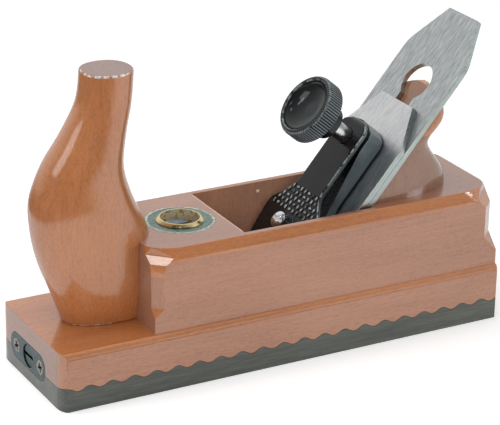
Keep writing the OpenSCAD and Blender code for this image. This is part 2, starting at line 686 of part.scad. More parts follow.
module plane_iron() color([0.72, 0.74, 0.75]) on_bed() difference() {
    translate([0, 0, -iron_t]) linear_extrude(iron_t) difference() {
        polygon(mirrored([[0, iron_w / 2], [iron_l - iron_shoulder_l, iron_w / 2],
            [iron_l - 0.87 * iron_shoulder_l, iron_w / 2 - 0.3],
            [iron_l - 0.75 * iron_shoulder_l, iron_w / 2 - 1.5],
            [iron_l, iron_top_w / 2]]));
        long_slot(slot_start_s, keyhole_s, slot_w);
        translate([keyhole_s, 0]) circle(d = keyhole_d);
    }
    side_extrude(iron_w + eps)
        polygon([[-eps, 0], [0, 0],
                 [(iron_t + eps) / tan(grind_angle), -iron_t - eps], [-eps, -iron_t - eps]]);
}

cap_slot_start_s = fulcrum_s - 19;
cap_slot_end_s = fulcrum_s + 16;
module cap_iron() color([0.75, 0.77, 0.78]) on_bed() difference() {
    intersection() {
        translate([cap_iron_set, 0]) linear_extrude(cap_iron_t) polygon(mirrored([
            [0, iron_w / 2], [cap_iron_l - cap_iron_shoulder_l, iron_w / 2],
            [cap_iron_l, cap_iron_top_w / 2]]));
        side_extrude(iron_w) polygon(concat(
            [[cap_iron_set, 0]],
            [for (a = [0 : 15 : 90]) [cap_iron_set + 5 * (1 - cos(a)), cap_iron_t * sin(a)]],
            [[cap_iron_set + cap_iron_l, cap_iron_t], [cap_iron_set + cap_iron_l, 0]]));
    }
    translate([0, 0, -eps]) linear_extrude(cap_iron_t + 2 * eps)
        long_slot(cap_slot_start_s, cap_slot_end_s, slot_w);
    translate([cap_screw_s, 0, -eps]) cylinder(d = cap_screw_d + 2 * run, h = cap_iron_t + 2 * eps);
}

module cap_iron_screw() color([0.4, 0.41, 0.43]) on_bed() translate([cap_screw_s, 0, 0]) difference() {
    union() {
        translate([0, 0, -iron_t - cap_screw_head_h]) cylinder(d = cap_screw_head_d, h = cap_screw_head_h);
        translate([0, 0, -iron_t - run]) cylinder(d = cap_screw_d, h = iron_t + cap_iron_t);
    }
    translate([0, 0, -iron_t - cap_screw_head_h]) cube([cap_screw_head_d + eps, 1.6, 2.4], center = true);
}

// Lever cap: side profile, front outline and hollow
lever_gap = 0.6;
lever_under = cap_iron_t + lever_gap;
lever_lip_t = 3.2;
lever_top_w = lever_w - 3.8;
lever_waist_s = lever_top_s - 38.5;
lever_flare_s = fulcrum_s + 4;
lever_profile = concat(
    [[lever_lip_s, cap_iron_t], [lever_lip_s - 0.6, cap_iron_t + 1.2],
     [lever_lip_s + 0.6, cap_iron_t + lever_lip_t]],
    [for (t = [1 : 10]) let (f = t / 10) [lever_lip_s + (lever_waist_s - lever_lip_s) * f,
        cap_iron_t + lever_lip_t + (lever_h - cap_iron_t - lever_lip_t) * sin(90 * f)]],
    [[lever_top_s - 3, lever_h], [lever_top_s - 1, lever_h - 0.8],
     [lever_top_s, lever_h - 2.4], [lever_top_s, lever_under], [lever_lip_s + 9, lever_under],
     [lever_lip_s + 4, cap_iron_t]]);
// Half width of the lever cap's outline at s, for a narrow part w wide
function lever_half(s, w) = let (f = (s - lever_flare_s) / (lever_waist_s - lever_flare_s))
    s < lever_flare_s ? lever_foot_w / 2 :
    s > lever_waist_s ? w / 2 : w / 2 + (lever_foot_w - w) / 2 * (1 + cos(180 * f)) / 2;
function lever_side(w) = concat(
    [[lever_lip_s - 1, lever_foot_w / 2 - 2], [lever_lip_s + 2, lever_foot_w / 2]],
    [for (i = [0 : 8]) let (s = lever_flare_s + (lever_waist_s - lever_flare_s) * i / 8)
        [s, lever_half(s, w)]],
    [[lever_top_s - 6, w / 2], [lever_top_s - 3.2, w / 2 - 1.2],
     [lever_top_s - 1.2, w / 4 + 1], [lever_top_s, w / 8]]);
boss_d = thumb_d + 7;
module lever_cap() color([0.13, 0.13, 0.13]) on_bed() difference() {
    union() {
        difference() {
            intersection() {
                side_extrude(lever_foot_w + eps) polygon(lever_profile);
                hull_block();
            }
            lever_hollow();
        }
        translate([thumb_s, 0, lever_under]) cylinder(d = boss_d, h = lever_h - lever_under - 1);
        translate([fulcrum_s, 0, lever_h - lever_wall - 1])
            cylinder(d = fulcrum_head_d + 2, h = lever_wall + 1.2);
    }
    translate([thumb_s, 0, 0]) cylinder(d = thumb_d + 2 * run, h = lever_h + eps);
    release_hole();
}
// Upper part narrows towards its front face, as a casting does
module hull_block() {
    linear_extrude(lever_h - 2.2) polygon(mirrored(lever_side(lever_w)));
    translate([0, 0, lever_h - 2.2 - slice])
        linear_extrude(2.2 + eps) polygon(mirrored(lever_side(lever_top_w)));
}
module lever_hollow() {
    s0 = lever_lip_s + 12;
    translate([0, 0, -eps]) linear_extrude(lever_h - lever_wall + eps) difference() {
        polygon(mirrored([for (p = lever_side(lever_w))
            [min(max(p[0], s0), lever_top_s - lever_wall), max(p[1] - lever_wall, 1)]]));
        translate([0, -half_w]) square([s0, body_w]);
    }
}
// Keyhole: narrow under the screw's head, wide below it for lifting the cap off
module release_hole() {
    translate([fulcrum_s, 0, 0]) cylinder(d = fulcrum_d + 0.6, h = lever_h + 2);
    translate([fulcrum_s - lever_slide, -(fulcrum_d + 0.6) / 2, 0])
        cube([lever_slide, fulcrum_d + 0.6, lever_h + 2]);
    translate([fulcrum_s - lever_slide, 0, 0]) cylinder(d = fulcrum_head_d + 0.8, h = lever_h + 2);
}

// The knob's hollow face, and the stud's top under it
knob_lip = 2.6;
stud_top_h = knob_h - knob_dish - 2.5;
module thumb_knob() color([0.16, 0.18, 0.17]) on_bed() translate([thumb_s, 0, 0]) difference() {
    union() {
        translate([0, 0, knob_h - knob_rim_t]) rotate_extrude() polygon(concat(
            [[0, 0], [knob_d / 2 - 1, 0], [knob_d / 2, 0.8], [knob_d / 2, knob_rim_t - 0.8],
             [knob_d / 2 - 0.8, knob_rim_t]],
            [for (a = [0 : 15 : 75])
                [(knob_d / 2 - knob_lip) * cos(a), knob_rim_t - knob_dish * sin(a) / sin(75)]],
            [[0, knob_rim_t - knob_dish]]));
        translate([0, 0, knob_h - knob_total]) cylinder(d = hub_d, h = knob_total - knob_rim_t + eps);
    }
    translate([0, 0, knob_h - knob_total - eps])
        cylinder(d = thumb_d, h = stud_top_h - knob_h + knob_total + eps);
    for (i = [0 : knob_knurls - 1]) rotate([0, 0, 360 * (i + 0.5) / knob_knurls])
        translate([knob_d / 2, 0, knob_h - knob_rim_t / 2]) rotate([0, 0, 45])
            cube([knurl_depth * sqrt(2), knurl_depth * sqrt(2), knob_rim_t + eps], center = true);
}

module thumb_stud() color([0.78, 0.8, 0.82]) on_bed() translate([thumb_s, 0, cap_iron_t])
    cylinder(d = thumb_d, h = stud_top_h - cap_iron_t);

// Domed head on a straight rim, with a screwdriver slot
fulcrum_dome_h = 2.6;
fulcrum_slot_w = 1.4;
fulcrum_slot_deep = 1.6;
module fulcrum_screw() color([0.8, 0.81, 0.82]) fulcrum_axis() difference() {
    union() {
        translate([0, 0, fulcrum_head_foot_h]) rotate_extrude() polygon(concat(
            [[0, 0], [fulcrum_head_d / 2, 0]],
            [for (a = [0 : 15 : 90]) [fulcrum_head_d / 2 * cos(a),
                fulcrum_head_h - fulcrum_dome_h * (1 - sin(a))]]));
        translate([0, 0, -iron_t - insert_l + 2]) cylinder(d = fulcrum_d, h = insert_l + iron_t + lever_h);
    }
    translate([0, 0, fulcrum_head_foot_h + fulcrum_head_h])
        cube([fulcrum_slot_w, fulcrum_head_d + eps, 2 * fulcrum_slot_deep], center = true);
}

module bed_insert() color([0.8, 0.64, 0.34]) fulcrum_axis() translate([0, 0, -iron_t - insert_l])
    difference() {
        cylinder(d = insert_d, h = insert_l);
        translate([0, 0, 1]) cylinder(d = fulcrum_d + 2 * run, h = insert_l);
    }

stock();
sole();
horn();
horn_dowels();
hand_guard();
guard_dowels();
mouth_block();
clamp_nut();
clamp_nut_screws();
clamp_screw();
clamp_bush();
deck_plate();
toe_plate();
toe_plate_screws();
adjusting_screw();
adjusting_nut();
plane_iron();
cap_iron();
cap_iron_screw();
lever_cap();
thumb_knob();
thumb_stud();
fulcrum_screw();
bed_insert();
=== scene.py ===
"""Looks of the smoothing plane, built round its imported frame. Metres, +X to the heel, +Z up."""

import json
import math

import bmesh
import bpy
from mathutils import Matrix, Vector


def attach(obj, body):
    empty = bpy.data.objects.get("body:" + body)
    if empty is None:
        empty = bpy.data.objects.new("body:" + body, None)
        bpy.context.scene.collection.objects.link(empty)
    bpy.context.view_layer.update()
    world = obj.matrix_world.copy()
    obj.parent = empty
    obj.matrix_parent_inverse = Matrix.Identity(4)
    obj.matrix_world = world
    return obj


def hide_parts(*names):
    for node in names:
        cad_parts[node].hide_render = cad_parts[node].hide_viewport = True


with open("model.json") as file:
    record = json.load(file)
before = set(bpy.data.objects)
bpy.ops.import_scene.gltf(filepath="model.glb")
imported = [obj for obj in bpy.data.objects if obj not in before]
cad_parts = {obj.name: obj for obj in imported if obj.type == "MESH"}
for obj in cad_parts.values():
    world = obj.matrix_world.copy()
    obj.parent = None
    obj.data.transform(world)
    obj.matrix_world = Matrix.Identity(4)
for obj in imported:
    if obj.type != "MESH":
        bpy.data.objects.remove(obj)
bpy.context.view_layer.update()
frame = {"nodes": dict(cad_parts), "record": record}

MM = 0.001
TOE = -0.1115
BLOCK = TOE + 0.0453
DECK = 0.065
TOE_DECK = 0.0272
BED = math.radians(50)
IRON_T = 0.0026
BED_FOOT = TOE + 0.1003
ON_BED = Matrix.Translation((BED_FOOT, 0, 0)) @ Matrix.Rotation(-BED, 4, "Y")
OFF_BED = ON_BED.inverted()
BODY = {node: body for body, nodes in frame["record"]["behaviour"]["bodies"].items() for node in nodes}
SLOT = {row["node"]: row["material_slot"] for row in frame["record"]["subparts"]}


# Materials
class Shade:
    """A Principled material with short calls for the nodes that feed it."""

    def __init__(self, name, **sockets):
        self.mat = bpy.data.materials.new(name)
        self.mat.use_nodes = True
        self.tree = self.mat.node_tree
        self.bsdf = self.tree.nodes["Principled BSDF"]
        for key, value in sockets.items():
            self.bsdf.inputs[key.replace("_", " ")].default_value = value

    def node(self, kind, inputs=(), **props):
        made = self.tree.nodes.new(kind)
        for key, value in props.items():
            setattr(made, key, value)
        for key, value in dict(inputs).items():
            if isinstance(value, bpy.types.NodeSocket):
                self.tree.links.new(value, made.inputs[key])
            else:
                made.inputs[key].default_value = value
        return made

    def coords(self, per_metre=(1, 1, 1), tilt=0.0):
        """Object coordinates in a frame tilted about Y, times per_metre along its axes."""
        source = self.node("ShaderNodeTexCoord").outputs["Object"]
        mapped = self.node("ShaderNodeMapping", {"Vector": source, "Rotation": (0, -tilt, 0),
                           "Scale": [1 / s for s in per_metre]}, vector_type="TEXTURE")
        return mapped.outputs["Vector"]

    def noise(self, vector, detail=2.0, rough=0.5, distortion=0.0):
        made = self.node("ShaderNodeTexNoise", {"Vector": vector, "Scale": 1.0, "Detail": detail,
                         "Roughness": rough, "Distortion": distortion})
        return made.outputs["Fac"]

    def ramp(self, fac, *stops):
        made = self.node("ShaderNodeValToRGB", {"Fac": fac})
        keys = made.color_ramp.elements
        while len(keys) < len(stops):
            keys.new(0.5)
        for key, (place, colour) in zip(keys, stops):
            key.position = place
            key.color = (*colour, 1) if isinstance(colour, tuple) else (colour, colour, colour, 1)
        return made.outputs["Color"]

    def mix(self, fac, a, b, mode="MIX"):
        made = self.node("ShaderNodeMix", data_type="RGBA", blend_type=mode)
        for slot, value in ((0, fac), (6, a), (7, b)):
            if isinstance(value, bpy.types.NodeSocket):
                self.tree.links.new(value, made.inputs[slot])
            else:
                made.inputs[slot].default_value = value if slot == 0 else (*value, 1)
        return made.outputs[2]

    def math(self, operation, a, b=0.0, c=0.0):
        return self.node("ShaderNodeMath", {0: a, 1: b, 2: c}, operation=operation).outputs[0]

    def bump(self, height, depth, normal=None):
        inputs = {"Height": height, "Distance": depth, "Strength": 1.0}
        if normal is not None:
            inputs["Normal"] = normal
        return self.node("ShaderNodeBump", inputs).outputs["Normal"]

    def put(self, key, value):
        self.tree.links.new(value, self.bsdf.inputs[key])
        return self


def along(axis, coarse, fine):
    """Noise density with its long streaks along one axis."""
    return [coarse if i == axis else fine for i in range(3)]


def tinted(colour, r, g, b):
    return (colour[0] * r, colour[1] * g, colour[2] * b)


def lacquered(name, colour, axis=0, tilt=0.0, fleck=0.35, gloss=0.09):
    """Close-grained wood under clear lacquer: slow tone, long streaks, pores and short dark flecks."""
    s = Shade(name, Roughness=0.5, IOR=1.45, Coat_Weight=1.0, Coat_Roughness=gloss, Coat_IOR=1.85)
    slow = s.noise(s.coords(along(axis, 9, 40), tilt), 2)
    streak = s.noise(s.coords(along(axis, 26, 620), tilt), 4, 0.6, 0.3)
    grain = s.noise(s.coords(along(axis, 500, 1500), tilt), 2, 0.6)
    pores = s.noise(s.coords(along(axis, 300, 2600), tilt), 1, 0.5)
    tone = s.math("MULTIPLY_ADD", slow, 0.4, s.math("MULTIPLY_ADD", streak, 0.3, s.math("MULTIPLY", grain, 0.3)))
    body = s.ramp(tone, (0.36, tinted(colour, 0.80, 0.74, 0.66)), (0.5, colour), (0.64, tinted(colour, 1.16, 1.22, 1.3)))
    dots = s.ramp(pores, (0.31, 1.0), (0.43, 0.0))
    s.put("Base Color", s.mix(s.math("MULTIPLY", dots, fleck), body, tinted(colour, 0.5, 0.42, 0.36)))
    s.put("Roughness", s.math("MULTIPLY_ADD", streak, 0.2, 0.42))
    s.put("Normal", s.bump(s.math("MULTIPLY_ADD", pores, 0.4, streak), 0.00005))
    skin = s.noise(s.coords((520, 520, 520), tilt), 3, 0.6)
    s.put("Coat Normal", s.bump(skin, 0.00005))
    return s.mat


def oiled(name, colour):
    """Dense dark wood with fine lengthwise streaks."""
    s = Shade(name, Roughness=0.45, IOR=1.45, Coat_Weight=1.0, Coat_Roughness=0.24, Coat_IOR=1.6)
    wide = s.noise(s.coords((12, 240, 240)), 3, 0.6)
    fine = s.noise(s.coords((90, 1500, 1500)), 3, 0.7)
    tone = s.math("MULTIPLY_ADD", wide, 0.5, s.math("MULTIPLY", fine, 0.5))
    s.put("Base Color", s.ramp(tone, (0.34, tinted(colour, 0.4, 0.42, 0.42)), (0.5, colour),
                               (0.66, tinted(colour, 2.1, 1.95, 1.7))))
    s.put("Roughness", s.math("MULTIPLY_ADD", fine, 0.25, 0.35))
    s.put("Normal", s.bump(fine, 0.00006))
    return s.mat


def metal(name, colour, rough, tilt=0.0, axis=0, grain=(40, 1500), spread=0.16, dirt=0.0, depth=0.00001,
          stain=(0.5, 0.5, 0.5)):
    """Ground or plated metal with streaks along one axis and faint dull patches."""
    s = Shade(name, Metallic=1.0, Roughness=rough)
    lines = s.noise(s.coords(along(axis, *grain), tilt), 3, 0.65)
    blotch = s.noise(s.coords((110, 110, 110), tilt), 3, 0.6)
    low = tinted(colour, *(1 - spread,) * 3)
    high = tuple(min(1.0, c * (1 + spread)) for c in colour)
    tone = s.ramp(lines, (0.36, low), (0.64, high))
    dull = s.ramp(blotch, (0.45, 0.0), (0.7, 1.0))
    s.put("Base Color", s.mix(s.math("MULTIPLY", dull, dirt), tone, tinted(colour, *stain)))
    s.put("Roughness", s.math("MULTIPLY_ADD", lines, 0.25, rough - 0.12))
    s.put("Normal", s.bump(lines, depth))
    return s.mat


def enamel(name, colour, rough=0.28, tilt=0.0, ior=1.4, cast=0.00004, coat=0.5, coat_rough=0.06):
    """Gloss enamel over a casting, slightly uneven."""
    s = Shade(name, Roughness=rough, IOR=ior, Coat_Weight=coat, Coat_Roughness=coat_rough, Coat_IOR=1.45)
    sand = s.noise(s.coords((900, 900, 900), tilt), 3, 0.6)
    wide = s.noise(s.coords((80, 80, 80), tilt), 2)
    s.put("Base Color", s.ramp(wide, (0.3, tinted(colour, 0.7, 0.7, 0.7)), (0.7, tinted(colour, 1.4, 1.4, 1.4))))
    s.put("Roughness", s.math("MULTIPLY_ADD", sand, 0.25, rough - 0.12))
    s.put("Normal", s.bump(sand, cast))
    return s.mat


def wear_and_highlight_patches(name, colour, pale_patch, tilt=0.0):
    """Dark finish with pale, partly metallic patches: wear with painted highlight on the lever cap's edges and dome
    tops, painted highlights on the horn, the knob's rim and in the bore.
    """
    s = Shade(name, Roughness=0.35, IOR=1.5)
    patch_noise = s.noise(s.coords((500, 500, 500), tilt), 3, 0.6)
    where = s.ramp(patch_noise, (0.42, 0.0), (0.54, 1.0))
    s.put("Base Color", s.mix(where, colour, pale_patch))
    s.put("Metallic", s.math("MULTIPLY", where, 0.6))
    s.put("Roughness", s.math("MULTIPLY_ADD", patch_noise, 0.3, 0.2))
    return s.mat


ORANGE = (0.50, 0.178, 0.056)
MATERIALS = {
    "body_wood": lacquered("lacquered_body", ORANGE),
    "handle_wood": lacquered("lacquered_handle", ORANGE, axis=2, gloss=0.13),
    "sole_wood": oiled("oiled_sole", (0.045, 0.054, 0.042)),
    "dowel_wood": lacquered("plain_dowel", (0.56, 0.36, 0.2), axis=2),
    "brass": metal("turned_brass", (0.80, 0.64, 0.34), 0.2, dirt=0.25, stain=(0.5, 0.42, 0.3)),
    "bright_steel": metal("bright_plating", (0.8, 0.82, 0.83), 0.2, spread=0.08),
    "dark_steel": metal("darkened_steel", (0.10, 0.115, 0.14), 0.3, dirt=0.3),
    "zinc_plate": metal("dull_zinc", (0.20, 0.27, 0.235), 0.42, grain=(700, 700), spread=0.4, dirt=0.5,
                        depth=0.00003, stain=(1.7, 1.6, 1.5)),
    "tool_steel": metal("ground_steel", (0.64, 0.67, 0.68), 0.42, BED, grain=(160, 1300), spread=0.25, dirt=0.15),
    "black_casting": enamel("black_enamel", (0.005, 0.006, 0.006), tilt=BED, ior=1.3),
    "knob_black": enamel("black_passivated", (0.010, 0.012, 0.013), 0.5, BED, 1.2, 0.00002, 1.0, 0.09),
}
# Several of these are lit or shaded copies of one finish: painted shade and reflection on the stock's flat faces, the
# lower guard and the toe plate; painted highlights or light on the arrises, horn rim, lever cap, knob, plate rims,
# bore, clamp screw and cap iron; painted shade in the stock's crease.
EXTRA = {
    "side": lacquered("side_painted_shade_and_reflection", (0.42, 0.17, 0.078), fleck=0.4),
    "deck": lacquered("deck_painted_shade_and_reflection", (0.38, 0.16, 0.088)),
    "toe": lacquered("toe_painted_shade_and_reflection", (0.34, 0.16, 0.10), axis=1),
    "end": lacquered("corner_facets_painted_shade_and_reflection", (0.42, 0.17, 0.078), axis=2),
    "arris": lacquered("arris_wear_and_painted_highlight", (0.70, 0.46, 0.34), gloss=0.2),
    "throat": lacquered("bare_throat", (0.50, 0.24, 0.145), axis=2, gloss=0.3),
    "front": lacquered("front_end_grain_painted_shade", (0.40, 0.20, 0.125), axis=1, fleck=0.45),
    "crown": lacquered("lacquered_crown", (0.24, 0.11, 0.07), axis=1, gloss=0.2),
    "cast": enamel("sandy_sides_painted_highlight", (0.10, 0.125, 0.135), 0.42, BED, 1.5, 0.0004),
    "knurls": enamel("knurl_crests_painted_highlight", (0.10, 0.13, 0.145), 0.4, BED, 1.6, 0.00004),
    "guard": lacquered("guard_lower_painted_shade", (0.27, 0.12, 0.06), axis=2),
    "glints": wear_and_highlight_patches("horn_painted_glints", (0.36, 0.15, 0.07), (0.98, 0.92, 0.90)),
    "crevice": lacquered("crease_painted_shade", (0.12, 0.05, 0.025), gloss=0.4),
    "cap_wear_and_highlight": wear_and_highlight_patches("lever_edges_wear_and_painted_highlight", (0.012, 0.012, 0.012), (0.55, 0.58, 0.58), BED),
    "rim_painted_highlight": wear_and_highlight_patches("knob_rim_painted_highlight", (0.02, 0.024, 0.02), (0.30, 0.36, 0.34), BED),
    "plate_rim": metal("plate_rim_painted_highlight", (0.52, 0.60, 0.55), 0.35, grain=(900, 900), spread=0.5, dirt=0.5,
                       depth=0.00003, stain=(0.5, 0.55, 0.5)),
    "toe_zinc_painted_shade": metal("toe_zinc_painted_shade", (0.105, 0.145, 0.16), 0.4, axis=1, grain=(200, 900), spread=0.3, dirt=0.4,
                      depth=0.00002, stain=(1.5, 1.5, 1.5)),
    "iron_edge": metal("iron_edges", (0.46, 0.52, 0.5), 0.3, BED, spread=0.15, dirt=0.3),
    "toe_screw": metal("dull_screws", (0.34, 0.33, 0.28), 0.38, axis=1, grain=(900, 900), spread=0.6, dirt=0.6,
                       stain=(0.3, 0.3, 0.3)),
    "adjuster": metal("dull_adjuster", (0.085, 0.12, 0.12), 0.35, axis=1, grain=(300, 900), spread=0.3, dirt=0.3),
    "slotted": enamel("clamp_head_painted_light", (0.13, 0.17, 0.22), 0.3, 0.0, 1.8),
    "bore": wear_and_highlight_patches("bore_painted_highlights", (0.30, 0.20, 0.08), (0.9, 0.8, 0.55)),
    "brad": enamel("brad_head", (0.90, 0.80, 0.62)),
    "burr": metal("burnished_end", (0.42, 0.38, 0.3), 0.4, BED, spread=0.3, dirt=0.5),
    "cap": metal("cap_iron_painted_light", (0.97, 0.98, 1.0), 0.34, BED, grain=(200, 1100), spread=0.2, dirt=0.15),
}
for node, slot in SLOT.items():
    for held in frame["nodes"][node].material_slots:
        held.material = MATERIALS[slot]


# Mesh work
def linked(name, bm):
    mesh = bpy.data.meshes.new(name)
    bm.to_mesh(mesh)
    bm.free()
    obj = bpy.data.objects.new(name, mesh)
    bpy.context.scene.collection.objects.link(obj)
    return obj


def stand_for(name, bm, *nodes, extra=(), sharp=32):
    """Makes the mesh a smooth-shaded piece that stands for CAD nodes and is finished as the first."""
    for face in bm.faces:
        face.smooth = True
    for edge in bm.edges:
        edge.smooth = len(edge.link_faces) == 2 and edge.calc_face_angle(0) < math.radians(sharp)
    obj = linked(name, bm)
    obj.data.materials.append(MATERIALS[SLOT[nodes[0]]])
    for key in extra:
        obj.data.materials.append(EXTRA[key])
    even = obj.modifiers.new("even_normals", "WEIGHTED_NORMAL")
    even.keep_sharp = True
    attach(obj, BODY[nodes[0]])
    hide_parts(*nodes)
    return obj


def copied(node):
    """The mesh of a CAD node, welded, with its flat faces whole."""
    bm = bmesh.new()
    bm.from_mesh(frame["nodes"][node].data)
    bmesh.ops.remove_doubles(bm, verts=bm.verts, dist=1e-6)
    bmesh.ops.dissolve_limit(bm, angle_limit=math.radians(0.6), verts=bm.verts, edges=bm.edges)
    return bm


def edges_over(bm, degrees):
    return [e for e in bm.edges if len(e.link_faces) == 2 and e.calc_face_angle(0) > math.radians(degrees)]


def rounded_off(bm, width, segments=2, degrees=28):
    """Rounds edges off inside the mesh's own box and returns the new faces."""
    low = [min(v.co[k] for v in bm.verts) for k in range(3)]
    high = [max(v.co[k] for v in bm.verts) for k in range(3)]
    made = bmesh.ops.bevel(bm, geom=edges_over(bm, degrees), offset=width, offset_type="OFFSET",
                           segments=segments, profile=0.5, affect="EDGES", clamp_overlap=False)
    for v in bm.verts:
        v.co = [min(max(v.co[k], low[k]), high[k]) for k in range(3)]
    bm.normal_update()
    return made["faces"]


def paint(bm, choose):
    """Gives each face the material index that choose(middle, normal) returns."""
    bm.normal_update()
    for face in bm.faces:
        face.material_index = choose(face.calc_center_median(), face.normal)


def lofted(rings):
    """Closed skin over equal rings of points."""
    bm = bmesh.new()
    rows = [[bm.verts.new(p) for p in ring] for ring in rings]
    n = len(rings[0])
    for low, high in zip(rows, rows[1:]):
        for i in range(n):
            j = (i + 1) % n
            bm.faces.new((low[i], low[j], high[j], high[i]))
    bm.faces.new(rows[0][::-1])
    bm.faces.new(rows[-1])
    bmesh.ops.recalc_face_normals(bm, faces=bm.faces)
    return bm


def block(bm, low, high, place=Matrix.Identity(4)):
    """Adds a closed box between two corners to a mesh of cutters."""
    made = bmesh.ops.create_cube(bm, size=1)["verts"]
    for v in made:
        v.co = place @ Vector([low[i] + (v.co[i] + 0.5) * (high[i] - low[i]) for i in range(3)])
    return made


def rod(bm, x, y, z0, z1, r, n=48):
    made = bmesh.ops.create_cone(bm, cap_ends=True, segments=n, radius1=r, radius2=r, depth=z1 - z0)["verts"]
    bmesh.ops.translate(bm, verts=made, vec=(x, y, (z0 + z1) / 2))


def cut(bm, tools):
    """Takes the closed cutters away from a closed mesh, exactly."""
    body, tool = linked("cut_body", bm), linked("cut_tool", tools)
    step = body.modifiers.new("cut", "BOOLEAN")
    step.operation, step.solver, step.object, step.use_self = "DIFFERENCE", "EXACT", tool, True
    shaped = body.evaluated_get(bpy.context.evaluated_depsgraph_get())
    out = bmesh.new()
    out.from_mesh(shaped.data)
    for obj in (body, tool):
        mesh = obj.data
        bpy.data.objects.remove(obj)
        bpy.data.meshes.remove(mesh)
    bmesh.ops.remove_doubles(out, verts=out.verts, dist=1e-7)
    bmesh.ops.recalc_face_normals(out, faces=out.faces)
    return out


def through(v, t):
    """Smooth curve through evenly spaced values, at t from 0 to 1."""
    n = len(v) - 1
    held = [2 * v[0] - v[1], *v, 2 * v[n] - v[n - 1], 3 * v[n] - 2 * v[n - 1]]
    i = min(int(t * n), n - 1)
    u = t * n - i
    a, b, c, d = held[i:i + 4]
    return b + u * (c - a + u * (2 * a - 5 * b + 4 * c - d + u * (3 * b - a - 3 * c + d))) / 2


def rounded(c, power):
    return math.copysign(abs(c) ** power, c)


# Stock: flat faces in darker, greyer copies of the lacquer for painted shade and painted reflection, orange bevels,
# pale arrises on the deck and at the throat painted as highlight over wear, and a crease in painted shade
THROAT = min(v.co.x for v in frame["nodes"]["stock"].data.vertices
             if v.co.z > DECK - 1e-5 and 0.02 < abs(v.co.y) < 0.0256 and v.co.x > BLOCK + 0.04)


# Sides, deck, toe face and corner facets take darker, greyer copies of the orange lacquer: painted shade with painted
# reflection. The block's front takes one too: end grain, darkened partly by painted shade.
def stock_face(middle, normal):
    x, y, z = middle
    if BLOCK + 0.04 < x < 0.05 and abs(y) < 0.0256 and z < DECK - 0.0006:
        return 6
    if abs(normal.y) > 0.97 and abs(y) > 0.029:
        return 1
    if normal.z > 0.97 and z > DECK - 0.0005:
        return 2
    if normal.x < -0.99 and x < TOE + 0.004:
        return 3
    if x < TOE + 0.0035 and z < TOE_DECK - 0.001:
        return 1
    if normal.x < -0.999 and abs(x - BLOCK) < 0.001:
        return 7
    if abs(normal.z) < 0.05 and abs(normal.x) < 0.999 and z > 0.029:
        return 4
    return 0


bm = copied("stock")
for face in rounded_off(bm, 0.3 * MM):
    face.tag = True
for place, across in (((THROAT - 0.0008, 0, 0), (1, 0, 0)), ((0, -0.0239, 0), (0, 1, 0)), ((0, 0.0239, 0), (0, 1, 0))):
    flat = [f for f in bm.faces if f.normal.z > 0.999 and f.calc_center_median().z > DECK - 1e-5]
    held = flat + list({e for f in flat for e in f.edges}) + list({v for f in flat for v in f.verts})
    bmesh.ops.bisect_plane(bm, geom=held, plane_co=place, plane_no=across)
paint(bm, stock_face)
# Pale arrises on the deck and a strip along the throat's front edge: painted highlight over wear.
# Rounded edges at the toe-deck height behind the block's front take a dark copy: painted shade in the crease.
for face in bm.faces:
    x, y, z = face.calc_center_median()
    lip = THROAT - 0.0008 < x < THROAT and abs(y) < 0.024 and z > DECK - 1e-5
    if lip or face.tag and z > DECK - 0.7 * MM and face.normal.z < 0.99:
        face.material_index = 5
    elif face.tag and abs(z - TOE_DECK) < 0.0004 and x > BLOCK:
        face.material_index = 8
stand_for("plane_stock", bm, "stock", extra=("side", "deck", "toe", "end", "arris", "throat", "front", "crevice"))

bm = copied("sole")
rounded_off(bm, 0.25 * MM)
stand_for("plane_sole", bm, "sole")


# Horn
HORN_TOP, HORN_HALF_W = 0.141, 0.0182
HORN_FRONT = [-30.1, -35.1, -40.5, -43.6, -43.8, -38.3, -29, -21.9, -19.9]
HORN_REAR = [15.1, 12.5, 11.8, 8.6, 1.8, -2.2, -0.9, 2, 3.2]
HORN_HALF = [0.67, 0.857, 0.962, 1, 0.984, 0.896, 0.758, 0.643, 0.626]
DOWEL_R = 0.004


def horn_ring(z, inset, n=112):
    t = (z - TOE_DECK) / (HORN_TOP - TOE_DECK)
    half = through(HORN_HALF, t) * HORN_HALF_W - inset
    front, rear = BLOCK + through(HORN_FRONT, t) * MM + inset, BLOCK + through(HORN_REAR, t) * MM - inset
    angles = [2 * math.pi * i / n for i in range(n)]
    return [((front + rear) / 2 + (rear - front) / 2 * rounded(math.cos(a), 0.91),
             half * rounded(math.sin(a), 0.91), z) for a in angles]


def rolled(low, high, r, count, steps=5):
    """Heights and insets from low to high with both ends rolled over to radius r."""
    turn = [math.pi / 2 * k / steps for k in range(steps + 1)]
    foot = [(low + r * (1 - math.cos(a)), r * (1 - math.sin(a))) for a in turn]
    head = [(high - r * (1 - math.cos(a)), r * (1 - math.sin(a))) for a in reversed(turn)]
    middle = [(low + r + (high - low - 2 * r) * k / count, 0) for k in range(1, count)]
    return foot + middle + head


bm = lofted([horn_ring(z, inset) for z, inset in rolled(TOE_DECK, HORN_TOP, 0.9 * MM, 84)])
tools = bmesh.new()
block(tools, (BLOCK, -0.04, 0), (BLOCK + 0.05, 0.04, DECK))
for side in (-1, 1):
    place = Matrix.Translation((BLOCK, side * 0.0144, 0)) @ Matrix.Rotation(side * -math.atan2(3, 7), 4, "Z")
    block(tools, (-0.014, min(0, side * 0.036), 0), (0.014, max(0, side * 0.036), DECK - 0.001), place)
for x in (BLOCK - 0.020, BLOCK - 0.008):
    rod(tools, x, 0, TOE_DECK - 0.011, TOE_DECK + 0.011, DOWEL_R)
bm = cut(bm, tools)


def horn_face(middle, normal):
    """Dull end grain on top, and pale patches as painted highlights (glints) along its front rim and foot."""
    if middle.z > HORN_TOP - 0.0009 and normal.z > 0.15:
        return 1 if normal.z > 0.96 or normal.y > 0.1 else 2
    return 2 if middle.z < TOE_DECK + 0.0008 and normal.y < -0.2 and middle.x < BLOCK - 0.012 else 0


paint(bm, horn_face)
stand_for("front_horn", bm, "horn", extra=("crown", "glints"), sharp=24)


